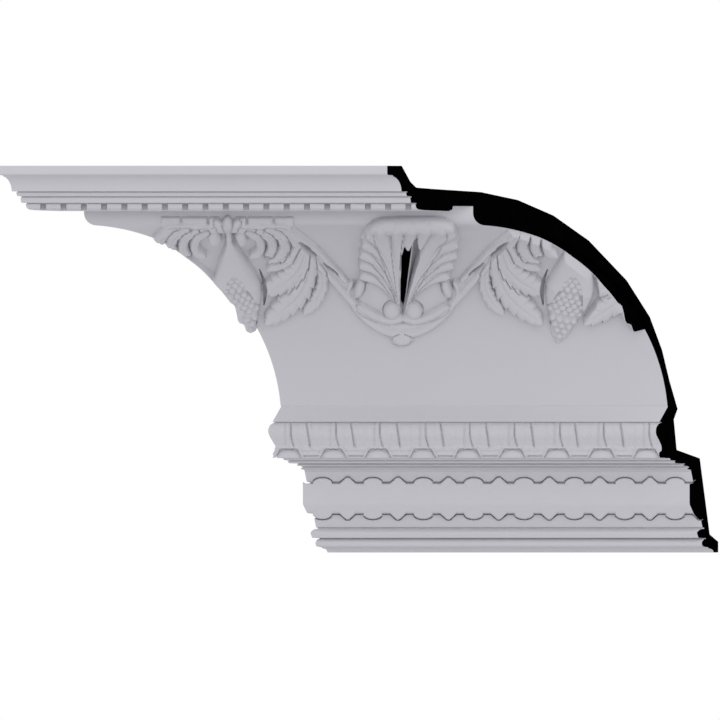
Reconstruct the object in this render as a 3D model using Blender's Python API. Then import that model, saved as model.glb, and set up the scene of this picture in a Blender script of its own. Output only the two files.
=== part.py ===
# Crown moulding: one casting, a length between two parallel 45 degree mitres.
# X runs along the wall, +Y points into the wall, +Z is up. The origin is the middle of the
# narrow flat that lies against the wall. "out" is how far a point stands out from the wall.
# Sizes of the outline and the ornament are in millimetres, and point() makes them metres.

import math

import bmesh
import bpy
import numpy as np

MM = 0.001
LENGTH = 503.1  # between the mitres, measured along the wall
OUT = 431.6  # how far the moulding stands out along the ceiling
TOP = 494.4  # height of the ceiling flat above the origin
WALL_FLAT = 14.0  # height of the flat against the wall

COVE_RADIUS = 256.6
COVE_OUT, COVE_UP = 322.5, 161.9  # centre of the cove's arc
COVE_END = 84.9  # degrees from the top of the arc
RISER_OUT, RISER_TOP = 320.5, 442.7
NOSE_RADIUS = 16.0

DENTIL_PITCH = 26.2
DENTIL_GAP = 8.8
DENTIL_FIRST = -541.2  # left side of one block
DENTIL_FACE, DENTIL_BACK = 394.3, 360.0
DENTIL_HIGH, DENTIL_LOW = 446.0, 435.0

SHELL_X = -158.6  # axis of the shell
POD_X = 228.0  # from the shell's axis to the neck of a pod
POD_LEAN = (166.0, 0.14)  # the leaves of a pod are mirrored about its leaning axis: a = this + share * z
RELIEF = 6.0  # typical height of the carving, at which the ornament is drawn
MITRE_LINE = (  # height of the carving where a mitre cuts it, from the pod's tip up
    (280, 12.5), (286, 14.0), (292, 12.6), (297, 16.2), (301, 16.0), (307, 12.8), (312, 10.2),
    (316, 8.6), (321, 10.2), (335, 9.0), (342, 8.8), (352, 7.0), (361, 5.5), (376, 3.9), (382, 2.6),
    (391, 0.9), (397, 0.0), (401, -3.0),
)

LEAF_PITCH = 58.2
LEAF_FIRST = -308.0
LEAF_TOP, LEAF_LOW, LEAF_CORE = 162.2, 116.5, 70.0
LEAF_BULGE = (  # how far the leaves stand out from the core, at each height
    (116.5, 6.0), (118.3, 6.9), (120.3, 7.2), (124.8, 6.0), (128, 4.1), (130, 3.9), (132.6, 4.2),
    (139.1, 8.0), (143, 10.5), (146.9, 12.2), (150.8, 12.8), (154.7, 12.5), (158.6, 10.9), (159.9, 9.5),
    (161.2, 7.6), (162.2, 6.2),
)

BAND_PITCH = 65.6
BAND_FIRST = -264.0
BAND_TOP, BAND_LOW = 83.2, 41.6
BAND_OUT, BAND_BEND, BAND_FOOT = 37.7, 56.0, 31.9
FRIEZE_TOP, FRIEZE_FOOT = (35.7, 98.8), (20.8, 25.9)  # the sloping face behind the band

UNDER = -3.0  # where nothing is carved, the sheet of ornament stays this far inside the body
SHEET = 3.2  # thickness of that sheet below its face


def clear():
    for item in list(bpy.data.objects):
        bpy.data.objects.remove(item, do_unlink=True)


def primer():
    paint = bpy.data.materials.new("factory_primer")
    paint.use_nodes = True
    shader = paint.node_tree.nodes["Principled BSDF"]
    shader.inputs["Base Color"].default_value = (0.50, 0.49, 0.53, 1)
    shader.inputs["Roughness"].default_value = 0.62
    shader.inputs["Metallic"].default_value = 0.0
    return paint


def arc(out, up, radius_out, radius_up, start, end, steps):
    # Points on an ellipse; 0 degrees is straight up, 90 degrees is towards the wall.
    turns = [math.radians(start + (end - start) * k / steps) for k in range(steps + 1)]
    return [(out - radius_out * math.sin(t), up + radius_up * math.cos(t)) for t in turns]


def nose_centre():
    across = COVE_OUT - RISER_OUT + NOSE_RADIUS
    rise = math.sqrt((COVE_RADIUS + NOSE_RADIUS) ** 2 - across**2)
    return RISER_OUT - NOSE_RADIUS, COVE_UP + rise, math.degrees(math.atan2(across, rise))


def carved_line():
    # The riser, the nose and the cove as points (out, up) with their outward normals.
    nose_out, nose_up, cove_start = nose_centre()
    line = [(RISER_OUT, up, 1.0, 0.0) for up in np.linspace(RISER_TOP - 6, nose_up, 5)[:-1]]
    for turn in np.radians(np.linspace(90, cove_start, 11)[:-1]):
        line.append((nose_out + NOSE_RADIUS * math.sin(turn), nose_up - NOSE_RADIUS * math.cos(turn),
                     math.sin(turn), -math.cos(turn)))
    for turn in np.radians(np.linspace(cove_start, 72, 100)):
        line.append((COVE_OUT - COVE_RADIUS * math.sin(turn), COVE_UP + COVE_RADIUS * math.cos(turn),
                     math.sin(turn), -math.cos(turn)))
    return np.array(line)


def outline():
    # The whole section, from the ceiling's front edge down the face and up the back.
    nose_out, nose_up, cove_start = nose_centre()
    crown = [(OUT, TOP), (OUT, 483.9), (429.6, 482.2)]
    crown += arc(427.0, 461.4, 13.8, 19.8, 0, 90, 6)
    crown += [(407.5, 461.2), (406.3, 455.5), (402.0, 454.8), (401.1, 446.8)]
    crown += [(395.5, DENTIL_HIGH + 0.4), (DENTIL_FACE, 440.5), (391.5, 438.2), (384.0, 437.2)]
    crown += [(351.0, 436.2), (347.4, 438.2), (346.6, RISER_TOP), (RISER_OUT, RISER_TOP)]
    nose = [(nose_out + NOSE_RADIUS * math.sin(math.radians(t)),
             nose_up - NOSE_RADIUS * math.cos(math.radians(t))) for t in (90, 70, 50, 30, 15, cove_start)]
    cove = arc(COVE_OUT, COVE_UP, COVE_RADIUS, COVE_RADIUS, cove_start, COVE_END, 26)[1:]
    foot = [(66.2, 183.3), (77.0, 163.0), (77.0, 161.5), (LEAF_CORE, 159.0), (LEAF_CORE, LEAF_LOW - 0.4)]
    foot += [(63.6, 116.0), (62.7, 113.6), (58.0, 112.9), (56.5, 110.0), (55.7, 108.6)]
    foot += [(46.0, 108.0), (45.1, 105.9), (41.0, 105.3), (40.5, 101.6), (36.3, 100.9)]
    foot += [FRIEZE_TOP, FRIEZE_FOOT]
    bead = [(23.2, 23.4), (26.8, 20.9), (28.0, 18.3), (27.1, 15.4), (25.9, 12.2), (18.7, 11.6)]
    toe = [(19.0, 10.0), (20.8, 8.0), (21.7, 5.3), (21.1, 2.5), (19.4, 0.7)]
    ogee = [(15.6, -0.7), (11.2, -1.7), (8.0, -3.1), (5.8, -WALL_FLAT / 2)]
    back = [(0, -WALL_FLAT / 2), (0, WALL_FLAT / 2), (11.2, 16.6), (24.2, 115.7), (54.6, 126.8)]
    back += [(58.4, 166.4), (53.4, 180.1), (64.0, 216.5), (73.7, 256.5), (89.8, 299.7)]
    back += [(120.1, 347.1), (169.7, 398.8), (215.9, 431.1), (262.3, 451.0), (310.2, 461.0)]
    back += [(373.2, 464.8), (394.0, 466.4), (401.4, 473.5), (412.8, TOP)]
    return crown + nose + cove + foot + bead + toe + ogee + back


def point(x, out, up):
    return (x * MM, -out * MM, up * MM)


def made(name, mesh_builder):
    bm = bmesh.new()
    mesh_builder(bm)
    bmesh.ops.recalc_face_normals(bm, faces=bm.faces)
    mesh = bpy.data.meshes.new(name)
    bm.to_mesh(mesh)
    bm.free()
    item = bpy.data.objects.new(name, mesh)
    bpy.context.scene.collection.objects.link(item)
    return item


def prism(name, section, x0, x1):
    # A section (out, up) drawn along X from x0 to x1.
    def build(bm):
        face = bm.faces.new([bm.verts.new(point(x0, out, up)) for out, up in section])
        grown = bmesh.ops.extrude_face_region(bm, geom=[face])["geom"]
        moved = [v for v in grown if isinstance(v, bmesh.types.BMVert)]
        bmesh.ops.translate(bm, verts=moved, vec=((x1 - x0) * MM, 0, 0))
    return made(name, build)


def dentil_gaps():
    def build(bm):
        count = int((OUT + LENGTH) / DENTIL_PITCH)
        for k in range(-8, count):
            x = DENTIL_FIRST + k * DENTIL_PITCH - DENTIL_GAP / 2
            out = (DENTIL_FACE + 6 + DENTIL_BACK) / 2
            up = (DENTIL_HIGH + DENTIL_LOW) / 2
            box = bmesh.ops.create_cube(bm, size=1)["verts"]
            size = (DENTIL_GAP * MM, (DENTIL_FACE + 6 - DENTIL_BACK) * MM, (DENTIL_HIGH - DENTIL_LOW) * MM)
            bmesh.ops.scale(bm, verts=box, vec=size)
            bmesh.ops.translate(bm, verts=box, vec=point(x, out, up))
    return made("dentil_gaps", build)


def smooth_path(stops, steps=24):
    # A smooth curve through the stops.
    p = np.array(stops, float)
    p = np.vstack([2 * p[0] - p[1], p, 2 * p[-1] - p[-2]])
    spans = len(p) - 3
    runs = []
    for k in range(spans):
        t = np.linspace(0, 1, steps // spans + 1, endpoint=k == spans - 1)[:, None]
        a, b, c, d = p[k:k + 4]
        runs.append(0.5 * (2 * b + (c - a) * t + (2 * a - 5 * b + 4 * c - d) * t**2
                           + (3 * b - a - 3 * c + d) * t**3))
    return np.vstack(runs)


def along(x, z, path):
    # The share of the way along a path, and the signed distance to its side.
    near, share, side = np.full(x.shape, 1e9), np.zeros(x.shape), np.zeros(x.shape)
    steps = np.diff(path, axis=0)
    lengths = np.hypot(steps[:, 0], steps[:, 1])
    start = np.concatenate([[0], np.cumsum(lengths)])
    for p, step, length, gone in zip(path, steps, lengths, start):
        t = np.clip(((x - p[0]) * step[0] + (z - p[1]) * step[1]) / length**2, 0, 1)
        dx, dz = x - p[0] - t * step[0], z - p[1] - t * step[1]
        away = np.hypot(dx, dz)
        closer = away < near
        near = np.where(closer, away, near)
        share = np.where(closer, (gone + t * length) / start[-1], share)
        side = np.where(closer, np.sign(step[0] * dz - step[1] * dx) * away, side)
    return share, side


def lobe(height, x, z, stops, wide, tall, root=0.45, widest=0.55, vein=0.0):
    # A leaf lobe along its vein: it widens from the root, and rounds off at the tip.
    t, side = along(x, z, smooth_path(stops))
    grow = root + (1 - root) * np.sin(np.pi / 2 * np.minimum(t / widest, 1))
    close = np.sqrt(np.clip(1 - (np.maximum(t - widest, 0) / (1 - widest)) ** 2, 0.0004, 1))
    q = np.abs(side) / (wide * np.minimum(grow, close))
    dome = tall * np.sqrt(np.clip(1 - q**2, 0, 1)) - vein * np.exp(-(side / (0.15 * wide)) ** 2) * (1 - t**4)
    return np.maximum(height, np.where(q < 1, dome, UNDER))


def ball(height, x, z, centre, radius_x, radius_z, base, tall):
    q = ((x - centre[0]) / radius_x) ** 2 + ((z - centre[1]) / radius_z) ** 2
    return np.maximum(height, np.where(q < 1, base + tall * np.sqrt(np.clip(1 - q, 0, 1)), UNDER))


LEAF_LOBES = (  # the vein of each lobe, its half width and its height
    (((115, 370), (106, 353), (107, 336), (115, 318), (127, 304)), 9.5, 8.5),
    (((122, 376), (125, 353), (137, 329), (158, 308), (179, 290)), 17.0, 12.0),
    (((128, 384), (135, 363), (149, 349), (165, 339), (178, 330)), 12.5, 11.0),
    (((135, 391), (141, 379), (154, 370), (167, 365), (177, 362)), 9.5, 10.5),
)
VINE_STOPS = ((24, 275), (44, 289), (64, 306), (80, 326), (94, 345), (109, 368), (128, 391), (150, 404))
CROWN_LOBES = (  # curled lobes of the crown leaf, measured from its middle, and their half widths
    (((26, 407), (38, 401), (42, 391), (38, 382), (30, 379)), 5.5),
    (((40, 408), (52, 402), (57, 391), (53, 381), (45, 377)), 6.0),
    (((52, 409), (68, 402), (73, 389), (68, 377), (59, 370)), 7.0),
    (((64, 409), (83, 402), (91, 388), (85, 374), (71, 365)), 8.0),
)
CROWN_TABS = ((11, 24), (26, 59), (60, 86))
POD_STOPS = ((227, 407), (222, 370), (217, 338), (209, 305), (201, 267))
POD_HALF_WIDTH = ((0, 4), (0.12, 9), (0.25, 19), (0.4, 29), (0.5, 32.5), (0.6, 31.5), (0.75, 24),
                  (0.9, 15), (0.96, 11.5), (1, 4))
SHELL_ROOT = (-2.5, 292)
SHELL_SIDE = 57.0  # how far the side ribs reach
SHELL_LOW, SHELL_RISE = 356.0, 13.2  # height of the lowest rib's end and the step to the next
SHELL_LEAN = 10.0  # the right half reaches this much farther
SHELL_CROWN = ((-38, 421), (-21, 426), (-2, 427), (16, 427), (33, 427), (50, 425))  # ends of the upper ribs
SHELL_LIP = ((-36, 417), (-20, 421), (2, 422.5), (25, 422.5), (42, 421))
CLEFT = ((0, 293), (2, 333), (4, 359), (8, 384), (12, 394), (16, 404))
CLEFT_HALF_WIDTH = ((0, 0.8), (0.35, 3.8), (0.6, 7), (0.82, 11), (0.9, 9), (1, 1.5))


def shell_ribs():
    # Each rib: its end, and how far its bend lies from the root towards that end, across and up.
    ribs = [((-SHELL_SIDE, SHELL_LOW + SHELL_RISE * k), (0.2, 0.95)) for k in range(5)]
    ribs += [((SHELL_SIDE + SHELL_LEAN, SHELL_LOW + SHELL_RISE * k), (0.2, 0.95)) for k in range(5)]
    return ribs + [(end, (0.3, 0.6)) for end in SHELL_CROWN]


def spray(height, a, z):
    # The leaf between a pod and the vine, its mirror image beyond the pod, and the vine.
    for stops, wide, tall in LEAF_LOBES:
        height = lobe(height, a, z, stops, wide, tall, vein=2.5)
        far = [(2 * (POD_LEAN[0] + POD_LEAN[1] * up) - x, up) for x, up in stops]
        height = lobe(height, a, z, far, wide, tall, vein=2.5)
    return lobe(height, a, z, VINE_STOPS, 7.5, 8.0, root=0.9, widest=0.9)


def crown_leaf(height, a, z):
    for side in (-1, 1):
        for stops, wide in CROWN_LOBES:
            stops = [(POD_X + side * reach, up) for reach, up in stops]
            height = lobe(height, a, z, stops, wide, 8.0, root=0.6, widest=0.6)
        height = lobe(height, a, z, [(POD_X, 411), (POD_X + side * 40, 414), (POD_X + side * 80, 414)], 5, 7)
        height = ball(height, a, z, (POD_X + side * 17, 400), 10, 7.5, 3, 7)
        for inner, outer in CROWN_TABS:
            middle, half = POD_X + side * (inner + outer) / 2, (outer - inner) / 2
            tab = (np.abs(a - middle) < half) & (np.abs(z - 421) < 7.5)
            height = np.maximum(height, np.where(tab, 6.0, UNDER))
    return lobe(height, a, z, [(POD_X, 408), (POD_X, 419), (POD_X, 432)], 9, 8.5, root=0.5, widest=0.5)


def pod(height, a, z):
    t, side = along(a, z, smooth_path(POD_STOPS, 32))
    share, half = zip(*POD_HALF_WIDTH)
    q = np.abs(side) / np.interp(t, share, half)
    tall = np.interp(t, (0, 0.2, 0.5, 0.8, 1), (8, 14, 19, 17, 9))
    body = tall * np.sqrt(np.clip(1 - q**2.4, 0, 1))
    berries = 1.3 * np.cos(np.pi * side / 7.8) * np.cos(np.pi * (t * 143 / 7.5)) ** 2
    open_half = np.interp(t, (0.38, 0.44, 0.55, 0.85), (0, 10, 17, 30))
    body = np.where((t > 0.38) & (np.abs(side) < open_half), body + berries - 1.5, body)
    return np.maximum(height, np.where(q < 1, body, UNDER))


def shell(height, x, z):
    root = np.array(SHELL_ROOT)
    for end, share in shell_ribs():
        end = np.array(end, float)
        bend = root + (end - root) * share
        t = np.linspace(0, 1, 5)[:, None]
        stops = (1 - t) ** 2 * root + 2 * t * (1 - t) * bend + t**2 * end
        height = lobe(height, x, z, stops, 7.6, 12.0, root=0.12, widest=0.9)
    return lobe(height, x, z, SHELL_LIP, 8.5, 12.5, root=0.5, widest=0.5)


def scrolls(height, x, z):
    a = np.abs(x + 0.6)
    height = lobe(height, a, z, ((13, 305), (34, 320), (55, 333)), 17, 4.2, root=0.7)
    for stops, wide in ((((4, 296), (15, 293), (31, 297), (46, 305), (60, 315)), 5.6),
                        (((3, 277), (15, 278), (31, 284), (49, 297), (67, 317)), 6.2)):
        height = lobe(height, a, z, stops, wide, 9.0, root=1, widest=0.8)
    height = ball(height, a, z, (14.5, 307), 11.5, 11.5, 3, 10)
    height = ball(height, a, z, (56, 333), 8, 13.5, 4, 9)
    height = ball(height, x, z, (-2, 270), 17.5, 10.5, 0, 8)
    return ball(height, x, z, (-2, 270), 11, 6.5, 5, 5)


def mitre_edge(x, z):
    # The height of the smooth line on which the carving meets a mitre, and how much of the
    # carving shows there: 0 at the mitre, 1 away from it.
    edge = np.interp(z, *zip(*MITRE_LINE))
    turn = np.arccos(np.clip((z - COVE_UP) / (COVE_RADIUS - RELIEF), -1, 1))
    room = LENGTH / 2 - np.abs(x + COVE_OUT - (COVE_RADIUS - edge) * np.sin(turn))
    return edge, np.clip(np.maximum((room - 1) / 12, (284 - z) / 4), 0, 1)


def carving(x, z):
    edge, share = mitre_edge(x, z)
    x = x - SHELL_X
    a = np.abs(x)
    height = np.full(x.shape, UNDER)
    for part in (crown_leaf, spray, pod):
        height = part(height, a, z)
    return edge + (scrolls(shell(height, x, z), x, z) - edge) * share


def leaf_torus(x, up):
    # Leaves of the lower torus: a bulge that turns in to a rolled hem, with seams and scallops.
    across = (x - LEAF_FIRST + LEAF_PITCH / 2) % LEAF_PITCH - LEAF_PITCH / 2
    bulge = np.interp(up, *zip(*LEAF_BULGE))
    slant = 26.5 + (LEAF_TOP - up) * 0.12
    for seam, deep in ((3.2, 3.0), (slant, 3.5), (slant - LEAF_PITCH, 3.5), (-3.5, 1.5)):
        bulge = bulge - deep * np.exp(-((across - seam) / 2.2) ** 2) * ((up > 130) & (up < 161))
    scallop = (up < 120.5 + 9.5 * np.sqrt(np.clip(1 - (across / 15) ** 2, 0, 1))) & (np.abs(across) < 15)
    bead = 2.5 * np.sqrt(np.clip(1 - (across / 14) ** 2 - ((up - 120) / 8) ** 2, 0, 1))
    return np.where(scallop & (up > 117), 1.0 + bead, bulge)


def sheet(name, columns, line, ornament, drawn_up, keep):
    # A sheet of ornament laid on a line of the section and drawn along the moulding between
    # the mitres. It is thick enough to be fused with the body behind it.
    x = np.linspace(-30, LENGTH + 30, columns)[None, :] - LENGTH / 2 - line[:, 0:1]
    height = ornament(x, np.broadcast_to(drawn_up[:, None], x.shape))

    def build(bm):
        rows = len(line)
        grid = bmesh.ops.create_grid(bm, x_segments=columns - 1, y_segments=rows - 1, size=1)["verts"]
        order = sorted(grid, key=lambda v: (round(v.co.y, 5), v.co.x))
        for k, vert in enumerate(order):
            row, column = divmod(k, columns)
            out, up, normal_out, normal_up = line[row]
            rise = height[row, column]
            vert.co = point(x[row, column], out + rise * normal_out, up + rise * normal_up)
        grown = bmesh.ops.extrude_face_region(bm, geom=bm.faces[:])["geom"]
        under = [v for v in grown if isinstance(v, bmesh.types.BMVert)]
        lift = {}
        for k, vert in enumerate(order):
            row, column = divmod(k, columns)
            out, up, normal_out, normal_up = line[row]
            lift[tuple(vert.co)] = point(x[row, column], out + (UNDER - SHEET) * normal_out,
                                         up + (UNDER - SHEET) * normal_up)
        for vert in under:
            vert.co = lift[tuple(vert.co)]
    item = made(name, build)
    thin = item.modifiers.new("fewer_faces", "DECIMATE")
    thin.ratio = keep
    return item


def frieze_band():
    # The raised plate of the frieze. Its edges carry round and pointed bumps in turn.
    def edge():
        run = []
        for k in range(-5, 13):
            x = BAND_FIRST + k * BAND_PITCH
            run += [(x + 13 * math.sin(math.radians(t)), 7.2 * math.cos(math.radians(t)))
                    for t in (-90, -55, -20, 20, 55, 90)]
            run += [(x + BAND_PITCH / 2 + step, rise)
                    for step, rise in ((-11, 0), (-2, 7.8), (2, 7.8), (11, 0))]
        return run

    def build(bm):
        upper = [(x, BAND_TOP + rise) for x, rise in edge()]
        lower = [(x, BAND_LOW - rise) for x, rise in reversed(edge())]
        face = bm.faces.new([bm.verts.new(point(x, 15, up)) for x, up in upper + lower])
        cut = point(0, 0, BAND_BEND)
        bmesh.ops.bisect_plane(bm, geom=[face, *face.edges, *face.verts], plane_co=cut, plane_no=(0, 0, 1))
        inner = bm.verts[:]
        grown = bmesh.ops.extrude_face_region(bm, geom=bm.faces[:])["geom"]
        for vert in grown:
            if isinstance(vert, bmesh.types.BMVert):
                fall = max(0.0, BAND_BEND - vert.co.z / MM) / (BAND_BEND - BAND_LOW)
                vert.co.y = -(BAND_OUT - (BAND_OUT - BAND_FOOT) * fall) * MM
        for vert in inner:
            share = (vert.co.z / MM - FRIEZE_FOOT[1]) / (FRIEZE_TOP[1] - FRIEZE_FOOT[1])
            vert.co.y = -(FRIEZE_FOOT[0] - 4 + (FRIEZE_TOP[0] - FRIEZE_FOOT[0]) * share) * MM
    return made("frieze_band", build)


def shell_cleft(line, drawn_up):
    # The deep slot in the middle of the shell, cut past the carving into the cove.
    middle = smooth_path(CLEFT, 15)
    half = np.interp(np.linspace(0, 1, len(middle)), *zip(*CLEFT_HALF_WIDTH))
    ring = [(x - w, z) for (x, z), w in zip(middle, half)]
    ring += [(x + w, z) for (x, z), w in reversed(list(zip(middle, half)))]

    def build(bm):
        loops = []
        for rise in (-7.0, 26.0):
            loop = []
            for x, z in ring:
                out, up, normal_out, normal_up = (np.interp(-z, -drawn_up, line[:, k]) for k in range(4))
                spot = point(SHELL_X + x, out + rise * normal_out, up + rise * normal_up)
                loop.append(bm.verts.new(spot))
            loops.append(loop)
        count = len(ring)
        for k in range(count):
            j = (k + 1) % count
            bm.faces.new([loops[0][k], loops[0][j], loops[1][j], loops[1][k]])
        pairs = count // 2
        for loop in loops:
            for k in range(pairs - 1):
                bm.faces.new([loop[k], loop[k + 1], loop[count - 2 - k], loop[count - 1 - k]])
    return made("shell_cleft", build)


def combine(body, other, operation):
    step = body.modifiers.new(f"{operation.lower()}_{other.name}", "BOOLEAN")
    step.operation = operation
    step.solver = "EXACT"
    step.object = other
    step.use_self = other.name == "festoon"
    other.hide_render = True
    other.display_type = "WIRE"


def main():
    clear()
    body = prism("crown_moulding", outline(), -OUT - LENGTH / 2 - 40, LENGTH / 2 + 40)
    body.data.materials.append(primer())
    combine(body, dentil_gaps(), "DIFFERENCE")

    line = carved_line()
    drawn_up = line[:, 1] + RELIEF * line[:, 3]
    combine(body, sheet("festoon", 190, line, carving, drawn_up, 0.055), "UNION")
    combine(body, shell_cleft(line, drawn_up), "DIFFERENCE")

    rows = np.linspace(LEAF_TOP, LEAF_LOW, 15)
    torus = np.array([(LEAF_CORE, up, 1.0, 0.0) for up in rows])
    combine(body, sheet("torus_leaves", 170, torus, leaf_torus, rows, 0.13), "UNION")
    combine(body, frieze_band(), "UNION")

    ends = prism("mitres", [(-60, -60), (-60, TOP + 60), (OUT + 60, TOP + 60), (OUT + 60, -60)], -1, 1)
    for vert in ends.data.vertices:
        vert.co.x = math.copysign(LENGTH / 2, vert.co.x) * MM + vert.co.y
    combine(body, ends, "INTERSECT")


main()
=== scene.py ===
import math

import bmesh
import bpy
import numpy as np
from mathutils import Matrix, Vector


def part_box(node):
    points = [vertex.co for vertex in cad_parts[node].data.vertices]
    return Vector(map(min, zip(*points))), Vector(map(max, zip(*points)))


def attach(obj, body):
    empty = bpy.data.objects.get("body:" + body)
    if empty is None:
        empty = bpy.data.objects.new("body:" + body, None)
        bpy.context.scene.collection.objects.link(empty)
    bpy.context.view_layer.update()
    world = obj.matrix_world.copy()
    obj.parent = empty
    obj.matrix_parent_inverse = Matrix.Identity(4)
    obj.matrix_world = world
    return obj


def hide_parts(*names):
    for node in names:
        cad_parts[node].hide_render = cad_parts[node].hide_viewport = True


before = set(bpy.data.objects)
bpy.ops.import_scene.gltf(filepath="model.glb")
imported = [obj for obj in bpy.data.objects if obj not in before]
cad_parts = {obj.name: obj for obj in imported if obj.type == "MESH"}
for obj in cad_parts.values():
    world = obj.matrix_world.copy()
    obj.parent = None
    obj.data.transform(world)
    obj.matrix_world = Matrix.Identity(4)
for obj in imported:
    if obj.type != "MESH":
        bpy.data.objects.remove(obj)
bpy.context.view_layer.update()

# Lengths below are in millimetres unless a note says otherwise. "out" is the distance out from
# the wall, "up" the height above the origin, and x runs along the wall.
mm = 0.001
low, high = (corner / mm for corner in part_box("crown_moulding"))
outMost, topMost, foot = -low.y, high.z, low.z
length = high.x - low.x - outMost  # along the wall, between the two mitres
halfLength = length / 2
spare = 40  # how far the plain body is drawn past both mitres before they are cut
clear = 30  # how far a cutter stands out in front of the cove

cove = {
    "radius": 256.6, "out": 322.5, "up": 161.9, "end": 84.9,  # the arc, and where it stops in degrees
    "riserOut": 320.5, "riserTop": 442.7, "nose": 16.0,
}
dentils = {
    "pitch": 26.2, "gap": 7.6, "firstGap": -624.2, "gaps": 19,
    "face": 394.3, "back": 380.0, "high": 446.0, "low": 435.0,
}
frieze = {"top": (35.7, 98.8), "foot": (20.8, 25.9), "sunk": 6.0}  # the sheet of the band fills the sunk face


def arc(out, up, radiusOut, radiusUp, start, end, steps):
    turns = [math.radians(start + (end - start) * k / steps) for k in range(steps + 1)]
    return [(out - radiusOut * math.sin(t), up + radiusUp * math.cos(t)) for t in turns]


def noseCentre():
    across = cove["out"] - cove["riserOut"] + cove["nose"]
    rise = math.sqrt((cove["radius"] + cove["nose"]) ** 2 - across**2)
    return cove["riserOut"] - cove["nose"], cove["up"] + rise, math.degrees(math.atan2(across, rise))


def carvedLine(riserRows, noseRows, coveRows):
    # riser, nose and cove as rows of (out, up, normal out, normal up)
    noseOut, noseUp, coveStart = noseCentre()
    riser = np.linspace(cove["riserTop"] - 5, noseUp, riserRows)[:-1]
    rows = [(cove["riserOut"], up, 1.0, 0.0) for up in riser]
    for turn in np.radians(np.linspace(90, coveStart, noseRows)[:-1]):
        rows.append((noseOut + cove["nose"] * math.sin(turn), noseUp - cove["nose"] * math.cos(turn),
                     math.sin(turn), -math.cos(turn)))
    for turn in np.radians(np.linspace(coveStart, festoon["lowTurn"], coveRows)):
        rows.append((cove["out"] - cove["radius"] * math.sin(turn),
                     cove["up"] + cove["radius"] * math.cos(turn), math.sin(turn), -math.cos(turn)))
    return np.array(rows)


def quirk(out, up, deep=1.8, high=1.1):
    # a fine square groove in an inner corner, which draws a crisp line of shade
    return [(out - deep, up), (out - deep, up - high), (out - 0.1, up - high)]


def section():
    # the plain section, from the ceiling's front edge down the face and up the back
    noseOut, noseUp, coveStart = noseCentre()
    (topOut, topUp), (footOut, footUp), sunk = frieze["top"], frieze["foot"], frieze["sunk"]
    face = [(outMost, topMost), (outMost, 483.9), (430.4, 482.4), (424.6, 482.1)]
    face += arc(427.0, 461.4, 13.8, 19.8, 13, 90, 14) + quirk(407.5, 461.3) + [(406.3, 455.5)]
    face += quirk(402.0, 454.8) + [(401.1, 446.8)] + quirk(395.6, dentils["high"] + 0.4)
    face += [(dentils["face"] + 0.4, 443.0), (dentils["face"], 440.5), (391.5, 438.2), (384.0, 437.2)]
    face += [(352.0, 436.2), (347.4, 438.2), (346.6, cove["riserTop"]), (cove["riserOut"], cove["riserTop"])]
    for turn in np.radians(np.linspace(90, coveStart, 14)):
        face.append((noseOut + cove["nose"] * math.sin(turn), noseUp - cove["nose"] * math.cos(turn)))
    face += arc(cove["out"], cove["up"], cove["radius"], cove["radius"], coveStart, cove["end"], 96)[1:]
    face += [(66.2, 183.3), (77.2, 163.6), (76.8, 163.2), (74.6, 163.0), (74.6, 161.0)]  # splay
    face += [(leaves["core"], 160.6), (leaves["core"], 116.1), (63.6, 116.0), (62.7, 113.6)]
    face += quirk(58.0, 112.9, 1.5, 0.8) + [(56.5, 110.0), (55.7, 109.4)] + quirk(46.4, 109.0, 2.4, 1.1)
    face += [(45.1, 106.2), (41.0, 105.8)] + quirk(40.7, 104.6, 2.0, 1.4) + [(40.5, 101.6), (36.3, 100.9)]
    face += [(topOut, topUp), (topOut - sunk, topUp - 0.4), (footOut - sunk, footUp + 0.4), (footOut, footUp)]
    face += [(18.6, 25.3), (18.6, 23.9), (22.0, 23.7), (23.6, 23.1), (25.2, 22.1), (26.8, 20.8)]  # beads
    face += [(27.8, 19.5), (28.0, 18.2), (27.6, 16.9), (27.0, 15.4), (26.3, 13.4), (25.9, 12.3)]
    face += [(16.4, 11.7), (16.4, 10.9), (18.8, 10.4), (19.2, 9.8), (20.6, 8.3), (21.6, 6.2), (21.6, 4.4)]
    face += [(21.0, 2.4), (19.6, 0.8), (13.2, -0.2), (13.2, -1.2), (11.5, -1.7), (8.2, -2.9), (6.8, -4.5)]
    face += [(5.8, foot)]
    back = [(0, foot), (0, -foot), (11.2, 16.6), (24.2, 115.7), (54.6, 126.8)]
    back += [(58.4, 166.4), (53.4, 180.1), (64.0, 216.5), (73.7, 256.5), (89.8, 299.7)]
    back += [(120.1, 347.1), (169.7, 398.8), (215.9, 431.1), (262.3, 451.0), (310.2, 461.0)]
    back += [(373.2, 464.8), (394.0, 466.4), (401.4, 473.5), (412.8, topMost)]
    return face + back


# Drawing the ornament: heights over a flat drawing, then laid on the moulding

def smoothPath(stops, steps=36):
    p = np.array(stops, float)
    p = np.vstack([2 * p[0] - p[1], p, 2 * p[-1] - p[-2]])
    spans = len(p) - 3
    runs = []
    for k in range(spans):
        t = np.linspace(0, 1, steps // spans + 1, endpoint=k == spans - 1)[:, None]
        a, b, c, d = p[k:k + 4]
        square, cube = 2 * a - 5 * b + 4 * c - d, 3 * b - a - 3 * c + d
        runs.append(0.5 * (2 * b + (c - a) * t + square * t**2 + cube * t**3))
    return np.vstack(runs)


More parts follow.
